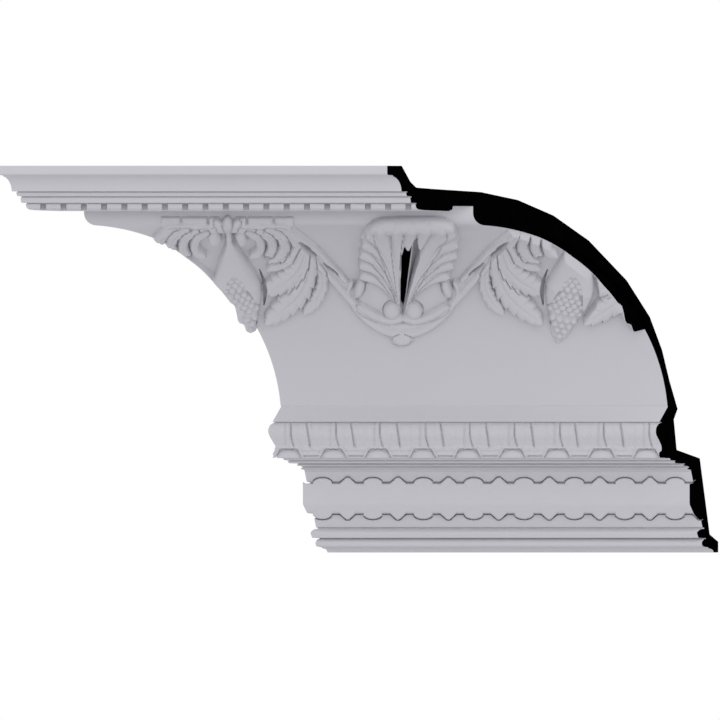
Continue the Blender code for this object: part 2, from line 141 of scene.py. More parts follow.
def along(x, z, path):
    # share of the way along the path, signed distance to its side, and the path's length
    near, share, side = np.full(x.shape, 1e9), np.zeros(x.shape), np.zeros(x.shape)
    steps = np.diff(path, axis=0)
    lengths = np.hypot(steps[:, 0], steps[:, 1])
    start = np.concatenate([[0], np.cumsum(lengths)])
    for p, step, span, gone in zip(path, steps, lengths, start):
        t = np.clip(((x - p[0]) * step[0] + (z - p[1]) * step[1]) / span**2, 0, 1)
        dx, dz = x - p[0] - t * step[0], z - p[1] - t * step[1]
        away = np.hypot(dx, dz)
        closer = away < near
        near = np.where(closer, away, near)
        share = np.where(closer, (gone + t * span) / start[-1], share)
        side = np.where(closer, np.sign(step[0] * dz - step[1] * dx) * away, side)
    return share, side, start[-1]


def within(x, z, corners):
    # which points lie inside a closed outline
    inside = np.zeros(x.shape, bool)
    for (x0, z0), (x1, z1) in zip(corners, corners[1:] + corners[:1]):
        if z0 != z1:
            inside ^= ((z0 > z) != (z1 > z)) & (x < x0 + (z - z0) * (x1 - x0) / (z1 - z0))
    return inside


class Drawing:
    # a field of heights over x and z, to which strokes are added; the highest one shows

    def __init__(self, x, z, under):
        self.x, self.z, self.under = x, z, under
        self.height = np.full(x.shape, float(under))

    def window(self, path, margin):
        left, low = path.min(axis=0) - margin
        right, top = path.max(axis=0) + margin
        return (self.x > left) & (self.x < right) & (self.z > low) & (self.z < top)

    def raiseTo(self, where, height):
        self.height[where] = np.maximum(self.height[where], np.maximum(height, self.under))

    def sink(self, where, share, floor=0.0):
        # share 1 lowers what is drawn so far to the floor, 0 leaves it
        here = self.height[where]
        self.height[where] = np.where(here > floor, floor + (here - floor) * (1 - share), here)

    def lobe(self, stops, wide, tall, root=0.45, widest=0.55, vein=0.0, teeth=0, bite=0.0, start=0.82,
             full=2.0, shade=0.0, gap=1.0):
        # a leaf lobe along its vein: it widens from the root and rounds off at the tip; shade is the
        # width of the dark gap that it leaves in what lies below it, and gap how deep that goes
        path = smoothPath(stops)
        where = self.window(path, wide * 1.3 + 4 + shade)
        t, side, reach = along(self.x[where], self.z[where], path)
        grow = root + (1 - root) * np.sin(np.pi / 2 * np.minimum(t / widest, 1))
        close = np.sqrt(np.clip(1 - (np.maximum(t - widest, 0) / (1 - widest)) ** 2, 0.0006, 1))
        half = wide * np.minimum(grow, close)
        away = np.abs(side)
        q = away / half
        tooth = (t * teeth - 0.55 * np.minimum(q, 1.3) + 0.9) % 1.0
        if teeth:
            half = half * (1 - bite * (1 - tooth) ** 1.3 * np.clip((t - 0.1) * 6, 0, 1))
            q = away / half
        climb = start + (1 - start) * np.sin(np.pi / 2 * t)
        dome = tall * climb * np.clip(1 - q**full, 0, 1) ** (1 / full)
        if vein:
            line = np.exp(-(side / 1.1) ** 2) * (1 - t**3)
            ribs = np.exp(-((np.minimum(tooth, 1 - tooth)) * reach / max(teeth, 1) / 1.3) ** 2) * q**0.7
            dome = dome - vein * line - 0.4 * vein * ribs * (teeth > 0)
        if shade:
            self.sink(where, gap * np.clip(1 - (away - half) / shade, 0, 1) ** 0.6 * (q >= 1))
        self.raiseTo(where, np.where(q < 1, dome, -3.0 * (q - 1) * half))

    def ball(self, centre, radiusX, radiusZ, base, tall, shade=0.0, lean=0.0, facing=(0, 0)):
        # facing: the side on which the dark gap shows; (0, 0) is all round
        dx, dz = self.x - centre[0], self.z - centre[1]
        where = (np.abs(dx) < radiusX + 5 + shade) & (np.abs(dz) < radiusZ + 5 + shade)
        dx, dz = dx[where] - lean * dz[where], dz[where]
        q = np.sqrt((dx / radiusX) ** 2 + (dz / radiusZ) ** 2)
        if shade:
            turned = 1.0
            if any(facing):
                ahead = (dx * facing[0] + dz * facing[1]) / np.maximum(np.hypot(dx, dz), 1)
                turned = np.clip(0.2 + ahead, 0, 1)
            self.sink(where, np.clip(1 - (q - 1) * min(radiusX, radiusZ) / shade, 0, 1) * (q >= 1) * turned)
        dome = base + tall * np.sqrt(np.clip(1 - q**2, 0, 1))
        self.raiseTo(where, np.where(q < 1, dome, base - 12.0 * (q - 1) * min(radiusX, radiusZ)))

    def slab(self, left, right, low, top, tall):
        # a flat tablet with eased edges
        x, z = (left + right) / 2, (low + top) / 2
        q = np.maximum(np.abs(self.x - x) / abs(right - left), np.abs(self.z - z) / (top - low)) * 2
        where = q < 1
        self.raiseTo(where, tall * (1 - q[where] ** 10) ** 0.5)

    def hollow(self, centre, radiusX, radiusZ):
        q = ((self.x - centre[0]) / radiusX) ** 2 + ((self.z - centre[1]) / radiusZ) ** 2
        where = q < 1.5
        self.sink(where, np.clip((1.5 - q[where]) * 2, 0, 1))

    def slit(self, stops, half):
        # a narrow opening that is pointed at both ends
        path = smoothPath(stops)
        where = self.window(path, half + 1)
        t, side, _ = along(self.x[where], self.z[where], path)
        q = np.abs(side) / (half * np.sin(np.pi * np.clip(t, 0.02, 0.98)) ** 0.6)
        self.sink(where, np.clip((1.3 - q) * 3, 0, 1) * (t > 0) * (t < 1), self.under)


# The festoon: shell, scrolls, vines, leaves and pods. x is measured from the shell's axis, and
# both sides are drawn once, at the distance a from it.

festoon = {
    "axis": -158.6, "relief": 6.0, "under": -3.0, "sheet": 3.2, "cell": 0.92,
    "rows": (22, 26, 290), "lowTurn": 72,  # rows on the riser, nose and cove, and where they stop in degrees
    "sheets": (("leftSpray", -325, -93), ("shellCartouche", -93, 93), ("rightSpray", 93, 325)),
    "pod": 228.0, "lean": (166.0, 0.14),  # the leaves are mirrored about this leaning line
    "leafLobes": (  # the vein of each lobe, its half width, height, widest place and number of teeth
        (((115, 370), (106, 353), (106.5, 336), (115, 319), (130, 303)), 10.0, 8.5, 0.72, 7),
        (((122, 376), (125, 353), (137, 329), (158, 309), (180, 292)), 17.5, 12.0, 0.6, 8),
        (((128, 385), (135, 365), (149, 350), (165, 340), (182, 333)), 15.0, 11.5, 0.72, 7),
    ),
    "vine": (  # the low band, the upper strand and the main strand
        (((63, 320), (76, 336), (88, 350), (102, 366), (118, 382), (134, 395), (150, 406)), 8.8, 4.5),
        (((76, 345), (86, 356), (98, 368), (108, 379), (120, 389), (134, 399), (150, 409)), 3.6, 6.5),
        (((63, 315), (76, 329), (88, 343), (100, 356), (112, 368), (124, 378), (136, 388)), 5.2, 9.0),
    ),
    "crownLobes": (  # curled lobes, measured from the pod's neck, with their half widths and teeth
        (((64, 409), (82, 403), (92, 389), (84, 376), (68, 367), (50, 362)), 9.5, 7),
        (((52, 409), (68, 403), (74, 390), (67, 379), (52, 372)), 8.5, 6),
        (((40, 408), (53, 402), (58, 391), (54, 382), (46, 378)), 6.8, 0),
        (((26, 407), (38, 402), (43, 391), (39, 382), (28, 379)), 6.4, 0),
    ),
    "crownTabs": ((11, 24, 5.2), (26, 59, 4.4), (61, 86, 3.6)),  # from, to and height
    "crownBall": (17.5, 400, 9.5, 7.5), "crownHollow": (50.0, 379.5, 3.6, 1.6),  # place and radii
    "podStops": ((227, 407), (222, 370), (217, 338), (209, 305), (201, 267)),
    "podHalf": (  # half width, height and half width of the open husk along the pod
        (0, 3), (0.12, 8), (0.25, 18), (0.4, 28), (0.5, 32.5), (0.6, 31), (0.75, 22), (0.9, 14.5),
        (0.96, 11), (1, 4)),
    "podTall": ((0, 8), (0.2, 14), (0.5, 19), (0.8, 15), (1, 9)),
    "podOpen": ((0.33, 1), (0.4, 10), (0.5, 16), (0.65, 22), (0.8, 30)),
    "pits": (  # dark openings beside a pod and in the vine, pressed into the cove: middle and half width
        (((187, 357), (181, 340), (180, 324), (181.5, 311)), 2.5),
        (((249, 341), (246, 328), (240, 314), (230, 298)), 2.0),
        (((84, 353), (94, 361), (104, 368)), 1.7),
        (((113, 377), (124, 386), (136, 398)), 2.1),
    ),
    "creases": (  # shallower ones along a pod's neck, at its tip and round its balls
        (((181, 314), (184.5, 304), (191.5, 290)), 1.7),
        (((223, 400), (214, 390), (204.5, 379), (195.5, 367), (187, 354)), 2.2),
        (((229.5, 401), (233, 389), (239.5, 376), (246.5, 354)), 1.3),
        (((254.5, 404), (252.5, 398), (249, 393.5), (243, 391.5)), 2.0),
        (((205, 404.5), (199.5, 401.5), (198.5, 396.5), (204, 393)), 2.0),
    ),
    "pitDeep": 7.0,
    "berryX": 9.2, "berryZ": 7.3,
    "shellRoot": (-1.5, 292),
    "shellSides": (  # where the ribs end
        (-57.5, 355.5), (-58, 369.5), (-57.5, 383), (-54.5, 396), (-49, 408),
        (60.5, 355.5), (66, 369.5), (70, 383), (71, 396), (67, 409),
    ),
    "shellTop": ((-33, 419), (-9, 423), (12, 423), (33, 423), (53, 418)),
    "shellTall": 13.0, "shellHalf": 62,  # the vines and leaves begin beyond this half width
    "rimTall": 12.4, "rimRound": 8, "rimFrom": 388, "rimFull": 420,  # the roll that closes the grooves
    "shellRim": (  # the upper outline of the shell
        (-57.5, 384), (-57, 396), (-54, 404), (-48.8, 411.5), (-39.6, 422), (-30, 426.5), (-22.8, 428),
        (0, 429), (40, 429), (52, 427), (63, 419), (70, 405), (73, 396), (73.5, 384)),
    "cleftLeft": ((-2.6, 293), (-4.6, 312), (-3.9, 346), (-3.3, 366), (-4.6, 383), (-1.5, 385), (1.6, 395),
                  (4, 391), (7.5, 391), (11, 398), (13, 401)),
    "cleftRight": ((17.5, 405.5), (18.4, 399), (19, 394), (21.5, 392.5), (20.2, 377), (16.3, 366), (12, 350),
                   (7.2, 333), (2, 311)),
    "blade": ((-0.6, 299), (3.3, 323), (8.6, 362), (13.4, 400)), "bladeHalf": 0.45,
    "cleftDeep": 11.0,
    # under the shell: web, outer band, filling, curl and inner band, each with its half width, height,
    # root and shade
    "bands": (
        (((13, 305), (34, 320), (55, 333)), 17, 4.2, 0.7, 0),
        (((3, 277), (15, 278), (31, 284), (49, 297), (67, 317)), 6.2, 8.5, 1.0, 0),
        (((0, 285), (15, 287), (31, 292), (49, 302)), 6.0, 6.0, 1.0, 0),
        (((60, 313), (68, 322), (71, 333), (66, 345)), 4.4, 7.5, 1.0, 0),
        (((4, 297), (15, 294.5), (31, 298), (46, 305.5), (60, 315)), 6.4, 9.8, 1.0, 0.7),
    ),
    "bandMiddle": -0.6, "volute": (14.4, 307.5), "curlEnd": (57, 336), "boss": (-2, 270),
    "mitreLine": (  # height of the carving where a mitre cuts it, from the pod's tip up
        (280, 12.5), (286, 14.0), (292, 12.6), (294, 13.0), (297, 16.2),
        (301, 16.0), (307, 12.8), (312, 10.2), (315.5, 8.6), (317, 8.6), (321, 10.2), (335, 9.0), (342, 8.8),
        (352, 7.0), (361, 5.5), (376, 3.9), (382, 2.6), (391, 0.9), (397, 0.0), (401, -3.0)),
    "mitreFade": 8.0, "tipUp": 284,  # below this height the pod's tip is cut as it stands
}


def drawSpray(d):
    base, share = festoon["lean"]
    for stops, wide, tall in festoon["vine"]:
        d.lobe(stops, wide, tall, root=1, widest=0.95, start=1, full=2.5)
    for stops, wide, tall, widest, teeth in festoon["leafLobes"]:
        for mirrored in (False, True):
            run = [(2 * (base + share * up) - x, up) for x, up in stops] if mirrored else stops
            d.lobe(run, wide, tall, widest=widest, vein=1.5, teeth=teeth, bite=0.22, full=3.0, shade=1.4,
                   gap=0.42)


def drawCrownLeaf(d):
    pod = festoon["pod"]
    for side in (-1, 1):
        for inner, outer, tall in festoon["crownTabs"]:
            d.slab(pod + side * inner, pod + side * outer, 412, 427.5, tall)
        hem = [(pod, 411), (pod + side * 27, 413), (pod + side * 54, 415), (pod + side * 82, 413.5)]
        d.lobe(hem, 5.2, 7.0, root=1, widest=0.8, teeth=6, bite=0.35, vein=1.2)
        strand = [(pod + side * 6, 410), (pod + side * 40, 408.5), (pod + side * 70, 408)]
        d.lobe(strand, 3.2, 8.5, root=1, widest=0.8, shade=0.9)
        for stops, wide, teeth in festoon["crownLobes"]:
            curl = [(pod + side * reach, up) for reach, up in stops]
            d.lobe(curl, wide, 10, root=0.55, widest=0.6, vein=1.4, teeth=teeth, bite=0.2, full=2.4,
                   shade=1.1, gap=0.6)
        reach, up, radiusX, radiusZ = festoon["crownBall"]
        d.ball((pod + side * reach, up), radiusX, radiusZ, 4, 8, shade=1.0)
        reach, up, radiusX, radiusZ = festoon["crownHollow"]
        d.hollow((pod + side * reach, up), radiusX, radiusZ)
        sprig = [(pod + side * 4, 408), (pod + side * 10, 416), (pod + side * 16, 425)]
        d.lobe(sprig, 6, 8.0, root=0.5, vein=1.2, shade=1.0, gap=0.5)
    bud = [(pod, 407), (pod, 418), (pod, 430)]
    d.lobe(bud, 7.0, 9.5, root=0.4, widest=0.5, vein=1.5, shade=1.0, gap=0.5)


def drawPod(d):
    path = smoothPath(festoon["podStops"], 40)
    where = d.window(path, 44)
    t, side, reach = along(d.x[where], d.z[where], path)
    half = np.interp(t, *zip(*festoon["podHalf"]))
    q = np.abs(side) / half
    d.sink(where, np.clip(1.6 - (np.abs(side) - half) / 4.0, 0, 1) * np.clip(t * 12, 0, 1))
    husk = np.interp(t, *zip(*festoon["podTall"])) * np.clip(1 - q**3.2, 0, 1) ** 0.42
    openHalf = np.interp(t, *zip(*festoon["podOpen"]))
    inside = (t > 0.33) & (np.abs(side) < openHalf)
    husk = np.where(inside, husk - 5.0, husk)
    d.raiseTo(where, np.where(q < 1, husk, -3.0 * (q - 1) * half))
    for row in range(13):  # berries in staggered rows over the open husk
        at = 0.355 + row * festoon["berryZ"] / reach
        if at > 1:
            break
        k = min(int(at * (len(path) - 1)), len(path) - 2)
        centre, ahead = path[k], path[k + 1] - path[k]
        across = np.array([ahead[1], -ahead[0]]) / np.hypot(*ahead)
        edge, tall = np.interp(at, *zip(*festoon["podHalf"])), np.interp(at, *zip(*festoon["podTall"]))
        room = min(edge - 1.5, np.interp(at, *zip(*festoon["podOpen"])))
        for j in range(-4, 5):
            offset = (j + (row % 2) / 2) * festoon["berryX"]
            if abs(offset) > max(room, 0.5):
                continue
            rim = max(0.05, 1 - (abs(offset) / (edge + 1)) ** 3.2) ** 0.42
            d.ball(centre + across * offset, festoon["berryX"] * 0.54, festoon["berryZ"] * 0.58,
                   tall * rim - 5.5, 5.2)


def drawShell(d):
    root = np.array(festoon["shellRoot"])
    for ends, wide, share in ((festoon["shellSides"], 6.6, (0.2, 0.93)),
                              (festoon["shellTop"], 10.0, (0.3, 0.6))):
        for end in ends:  # each rib bends on its way to the rim
            end = np.array(end)
            bend = root + (end - root) * share
            t = np.linspace(0, 1, 5)[:, None]
            stops = (1 - t) ** 2 * root + 2 * t * (1 - t) * bend + t**2 * end
            d.lobe(stops, wide, festoon["shellTall"], root=0.12, widest=0.88, start=0.4, full=2.4,
                   shade=0.9, gap=0.25)
    inset = np.clip((np.interp(d.x, *zip(*festoon["shellRim"])) - d.z) / festoon["rimRound"], 0, 1)
    rise = np.clip((d.z - festoon["rimFrom"]) / (festoon["rimFull"] - festoon["rimFrom"]), 0, 1)
    wave = festoon["rimTall"] + 0.4 * np.cos(d.x / 3.4)
    fill = wave * np.sqrt(1 - (1 - inset) ** 2) * rise**2 * (3 - 2 * rise)
    d.raiseTo(fill > 0.1, fill[fill > 0.1])


def drawScrolls(d):
    half = Drawing(np.abs(d.x - festoon["bandMiddle"]), d.z, d.under)
    half.height = d.height
    for stops, wide, tall, root, shade in festoon["bands"]:
        half.lobe(stops, wide, tall, root=root, widest=0.8, start=1, shade=shade, gap=0.3)
    half.ball(festoon["volute"], 11.2, 11.2, 4, 10, shade=1.2, facing=(0.7, 0.75))
    half.ball(festoon["curlEnd"], 6.8, 11.5, 4, 9.5, shade=1.6, lean=-0.25, facing=(-1, 0.1))
    d.ball(festoon["boss"], 15.6, 10.4, 1, 7.0)
    d.ball(festoon["boss"], 12.4, 7.7, 5.8, 4.0, shade=0.5)


def mitreEdge(x, z):
    # height of the smooth line on which the carving meets a mitre, and the carving's share beside it
    edge = np.interp(z, *zip(*festoon["mitreLine"]))
    turn = np.arccos(np.clip((z - cove["up"]) / (cove["radius"] - festoon["relief"]), -1, 1))
    room = halfLength - np.abs(x + cove["out"] - (cove["radius"] - edge) * np.sin(turn))
    return edge, np.clip(np.maximum((room - 1) / festoon["mitreFade"], (festoon["tipUp"] - z) / 4), 0, 1)


def drawFestoon(x, z):
    edge, share = mitreEdge(x, z)
    x = x - festoon["axis"]
    mirrored = Drawing(np.abs(x), z, festoon["under"])
    drawCrownLeaf(mirrored)
    drawSpray(mirrored)
    drawPod(mirrored)
    for stops, half in festoon["pits"] + festoon["creases"]:
        mirrored.slit(stops, half)
    whole = Drawing(x, z, festoon["under"])
    drawShell(whole)
    beside = np.abs(x) > festoon["shellHalf"]
    whole.height = np.where(beside, np.maximum(whole.height, mirrored.height), whole.height)
    whole.height[within(x, z, festoon["cleftLeft"] + festoon["cleftRight"])] = festoon["under"]
    drawScrolls(whole)
    return edge + (whole.height - edge) * share


# The leaf torus and the frieze band

leaves = {
    "pitch": 58.2, "first": -308.0, "top": 162.3, "low": 116.5, "core": 70.0,
    "cell": 0.8, "rows": 60, "under": -0.5, "sheet": 2.0,
    "reach": (90, 60),  # past the left end and short of the right one, before the mitres are cut
    "bulge": (  # how far the leaves stand out from the core, at each height
        (116.5, 6.0), (118.3, 6.9), (120.3, 7.2), (124.8, 6.0), (128, 4.6), (130, 4.4), (132.6, 4.8),
        (139.1, 8.0), (143, 10.5), (146.9, 12.2), (150.8, 12.8), (154.7, 12.5), (158.6, 10.9), (159.9, 9.5),
        (161.2, 7.6), (162.2, 6.2)),
    "scallopTop": 128.2, "scallopHalf": 11.0, "scallopFoot": 15.8,
}
band = {
    "pitch": 65.6, "first": -264.0, "top": 83.2, "low": 43.6, "bump": 7.2, "point": 7.8,
    "out": 37.7, "bend": 56.0, "footOut": 31.9, "groove": 4.4,
    "cell": 0.9, "under": -4.6, "sheet": 2.0, "reach": (45, 15),
    "rows": (  # from, to and how many, closest where the band's outline runs
        (98.75, 92.5, 4), (91.8, 79.8, 18), (77, 47, 12), (44.8, 32.4, 18), (31.5, 25.95, 4)),
}


def drawLeaves(x, up):
    pitch = leaves["pitch"]
    across = (x - leaves["first"] + pitch / 2) % pitch - pitch / 2
    number = np.floor((x - leaves["first"] + pitch / 2) / pitch)
    sway = 0.7 * np.sin(number * 2.4)  # no two leaves are quite alike
    bulge = np.interp(up, *zip(*leaves["bulge"]))
    fade = np.clip((up - 128.5) / 4, 0, 1)
    seam = 3.0 + sway + 4.6 * np.clip((147 - up) / 18, 0, 1) ** 1.5
    slant = 23.2 - sway + (162 - up) * 0.145
    folds = (  # place, rise and width of the seams, the veins and the dents
        (seam, -3.4, 0.9), (slant, -3.4, 1.0), (slant - pitch, -3.4, 1.0), (-4.4 + sway, -1.4, 1.0),
        (-0.6 + sway, 1.0, 1.8), (slant + 4, 1.2, 2.0), (slant + 4 - pitch, 1.2, 2.0),
        (14 - sway, -0.9, 3.0), (-17 + sway, -0.8, 2.6))
    for where, rise, wide in folds:
        bulge = bulge + rise * np.exp(-((across - where) / wide) ** 2) * fade
    crinkle = np.sin(across * 0.9 + number * 2 + 0.25 * up) * np.sin(up * 0.33 + across * 0.2 + number)
    bulge = bulge + 0.22 * crinkle
    edge = leaves["scallopTop"] + 1.0 * np.abs(np.cos(across * np.pi / 7.2)) - 0.5
    spread = (leaves["scallopFoot"] - leaves["scallopHalf"]) / 9
    half = leaves["scallopHalf"] + (leaves["scallopTop"] - up) * spread
    inside = (up < edge) & (np.abs(across) < half)
    away = np.where(up < edge + 3, np.abs(across) - half, 9)
    bulge = bulge + 1.4 * np.exp(-((away - 2.6) / 1.6) ** 2) * (up < 129)
    hem = 1.2 * np.sin(across * 2 * np.pi / 14.5 + number)
    bulge = bulge - 3.0 * np.exp(-((up - 118.9) / 0.8) ** 2) * (away > 3)
    bulge = bulge - 1.2 * np.exp(-((up - 126.4 - 0.5 * hem) / 1.0) ** 2) * (away > 2)
    bead = 0.2 + 5.6 * np.sqrt(np.clip(1 - (across / 16.8) ** 2 - ((up - 118.5) / 8.5) ** 2, 0, 1))
    return np.where(inside, bead, bulge)


def drawBand(x, up):
    # height over the frieze's sloping face: the plate, the groove round it, and nothing beyond
    (topOut, topUp), (footOut, footUp), pitch = frieze["top"], frieze["foot"], band["pitch"]
    across = (x - band["first"] + pitch / 2) % pitch - pitch / 2
    bump = band["bump"] * np.sqrt(np.clip(1 - (across / 12.6) ** 2, 0, 1))
    away = pitch / 2 - np.abs(across)
    point = band["point"] * np.clip((10.5 - away) / 8.5, 0, 1)
    reach = np.maximum(bump, point)
    middle, half = (band["top"] + band["low"]) / 2, (band["top"] - band["low"]) / 2
    inside = half + reach - np.abs(up - middle)
    wall = topOut - (topUp - up) * (topOut - footOut) / (topUp - footUp)
    fall = np.clip((band["bend"] - up) / (band["bend"] - band["low"]), 0, 2)
    swell = 0.35 * np.cos(across * 2 * np.pi / pitch + np.pi)
    face = band["out"] - (band["out"] - band["footOut"]) * fall + swell
    knob = ((across / 11.5) ** 2 + ((np.abs(up - middle) - half - 0.8) / 6.2) ** 2 - 1) / 0.16
    face = face - 0.5 * np.exp(-knob**2) * (np.abs(up - middle) < half + 1)
    plate = (face - wall) * np.clip(inside / 1.0, 0, 1) ** 0.5
    wide = np.where(up > middle, 1.9, 1.4) - np.where(up > middle, 0.8, 0.3) * np.clip(reach / 4, 0, 1)
    groove = -band["groove"] * np.clip(1.25 - (-inside / wide) ** 3, 0, 1)
    return np.where(inside > 0, plate, np.where(-inside < wide * 1.1, groove, 0.0))


# Meshes

def link(name, bm, smooth=35):
    mesh = bpy.data.meshes.new(name)
    bm.to_mesh(mesh)
    bm.free()
    mesh.shade_smooth()
    mesh.set_sharp_from_angle(angle=math.radians(smooth))
    item = bpy.data.objects.new(name, mesh)
    bpy.context.scene.collection.objects.link(item)
    return item


def cutMitres(bm):
    # both ends are cut at 45 degrees and closed; the cut faces carry the second material
    for side in (1, -1):
        cut = bmesh.ops.bisect_plane(
            bm, geom=bm.verts[:] + bm.edges[:] + bm.faces[:], dist=1e-7,
            plane_co=(side * halfLength * mm, 0, 0), plane_no=(side, -side, 0), clear_outer=True)
        rim = [e for e in cut["geom_cut"] if isinstance(e, bmesh.types.BMEdge)]
        for face in bmesh.ops.holes_fill(bm, edges=rim, sides=0)["faces"]:
            face.material_index = 1
            face.smooth = False


def eased(corners, radius=0.7):
    # small rounded corners wherever the section turns sharply
    run = []
    for k, here in enumerate(corners):
        here = np.array(here)
        before, after = np.array(corners[k - 1]) - here, np.array(corners[(k + 1) % len(corners)]) - here
        reach = min(np.hypot(*before), np.hypot(*after))
        before, after = before / np.hypot(*before), after / np.hypot(*after)
        turn = math.pi - math.acos(np.clip(before @ after, -1, 1))
        if turn < 0.35 or reach < 1.0:
            run.append(tuple(here))
            continue
        cut = min(radius * math.tan(turn / 2), 0.4 * reach)
        first, last = here + before * cut, here + after * cut
        for t in (0, 0.5, 1):
            run.append(tuple((1 - t) ** 2 * first + 2 * t * (1 - t) * here + t * t * last))
    return run


def sweep():
    # the plain body: the section drawn along the wall, past both mitres
    bm = bmesh.new()
    start = -(outMost + halfLength + spare) * mm
    face = bm.faces.new([bm.verts.new((start, -out * mm, up * mm)) for out, up in eased(section())])
    grown = bmesh.ops.extrude_face_region(bm, geom=[face])["geom"]
    moved = [v for v in grown if isinstance(v, bmesh.types.BMVert)]
    bmesh.ops.translate(bm, verts=moved, vec=((length + outMost + 2 * spare) * mm, 0, 0))
    bmesh.ops.recalc_face_normals(bm, faces=bm.faces)
    return link("mouldingBody", bm)


def gapCutters():
    # one box for each dark gap between two dentils
    front = dentils["face"] + 6
    bm = bmesh.new()
    for k in range(dentils["gaps"]):
        x = dentils["firstGap"] + k * dentils["pitch"]
        box = bmesh.ops.create_cube(bm, size=1)["verts"]
        size = (dentils["gap"], front - dentils["back"], dentils["high"] - dentils["low"])
        bmesh.ops.scale(bm, verts=box, vec=[s * mm for s in size])
        spot = (x, -(front + dentils["back"]) / 2, (dentils["high"] + dentils["low"]) / 2)
        bmesh.ops.translate(bm, verts=box, vec=[s * mm for s in spot])
    return link("gapCutters", bm)


def onSurface(line, drawnUp, x, z, rise):
    out, up, normalOut, normalUp = (np.interp(-z, -drawnUp, line[:, k]) for k in range(4))
    return (x * mm, -(out + rise * normalOut) * mm, (up + rise * normalUp) * mm)


def cleftCutter(line, drawnUp):
    # two prisms, one on each side of the thin blade in the cleft, pressed into the cove
    blade, thin = festoon["blade"], festoon["bladeHalf"]
    bm = bmesh.new()
    for outline in ([*festoon["cleftLeft"], *((x - thin, z) for x, z in reversed(blade))],
                    [*festoon["cleftRight"], *((x + thin, z) for x, z in blade)]):
        loops = [[bm.verts.new(onSurface(line, drawnUp, festoon["axis"] + x, z, rise)) for x, z in outline]
                 for rise in (-festoon["cleftDeep"], clear)]
        for k in range(len(outline)):
            j = (k + 1) % len(outline)
            bm.faces.new((loops[0][k], loops[0][j], loops[1][j], loops[1][k]))
        bmesh.ops.triangulate(bm, faces=[bm.faces.new(loop) for loop in loops])
    bmesh.ops.recalc_face_normals(bm, faces=bm.faces)
    return link("cleftCutter", bm)


def pitCutters(line, drawnUp):
    # narrow spindles on both sides of each pod and along the vine's slits
    bm = bmesh.new()
    for stops, widest in festoon["pits"]:
        path = smoothPath(stops, 12)
        half = widest * np.sin(np.pi * np.linspace(0.04, 0.96, len(path))) ** 0.6
        ahead = np.gradient(path, axis=0)
        across = np.stack([-ahead[:, 1], ahead[:, 0]], 1) / np.hypot(ahead[:, 0], ahead[:, 1])[:, None]
        outline = np.vstack([path + across * half[:, None], (path - across * half[:, None])[::-1]])
        for side in (-1, 1):
            loops = [[onSurface(line, drawnUp, festoon["axis"] + side * x, z, rise) for x, z in outline]
                     for rise in (-festoon["pitDeep"], clear)]
            if max(abs(x - y) for loop in loops for x, y, _ in loop) > (halfLength - 3) * mm:
                continue  # it would reach a mitre
            loops = [[bm.verts.new(spot) for spot in loop] for loop in loops]
            count = len(outline)
            for k in range(count):
                j = (k + 1) % count
                bm.faces.new((loops[0][k], loops[0][j], loops[1][j], loops[1][k]))
            for loop in loops:
                for k in range(count // 2 - 1):
                    bm.faces.new((loop[k], loop[k + 1], loop[count - 2 - k], loop[count - 1 - k]))
    bmesh.ops.triangulate(bm, faces=bm.faces)
    bmesh.ops.recalc_face_normals(bm, faces=bm.faces)
    return link("pitCutters", bm)


def carve(piece, cutter):
    step = piece.modifiers.new("cut", "BOOLEAN")
    step.operation = "DIFFERENCE"
    step.solver = "EXACT"
    step.use_self = True
    step.object = cutter
    graph = bpy.context.evaluated_depsgraph_get()
    mesh = bpy.data.meshes.new_from_object(piece.evaluated_get(graph))
    piece.modifiers.clear()
    piece.data = mesh
    bpy.data.objects.remove(cutter, do_unlink=True)


def finishBody(piece):
    bm = bmesh.new()
    bm.from_mesh(piece.data)
    bmesh.ops.remove_doubles(bm, verts=bm.verts, dist=1e-6)
    bmesh.ops.recalc_face_normals(bm, faces=bm.faces)
    cutMitres(bm)
    for face in bm.faces:  # the bottom of the cleft gets the black of the section as painted shade, unlike the large faces of the back
        spot = face.calc_center_median() / mm
        deep = math.hypot(-spot.y - cove["out"], spot.z - cove["up"]) - cove["radius"]
        beside = abs(spot.x - festoon["axis"])
        if beside < 30 and 280 < spot.z < 420 and abs(deep - festoon["cleftDeep"]) < 2 \
                and face.calc_area() < 0.002:
            # painted shade: the cleft's floor takes the black section material
            face.material_index = 1
    bmesh.ops.recalc_face_normals(bm, faces=bm.faces)
    bm.to_mesh(piece.data)
    bm.free()
    piece.data.shade_smooth()
    piece.data.set_sharp_from_angle(angle=math.radians(30))


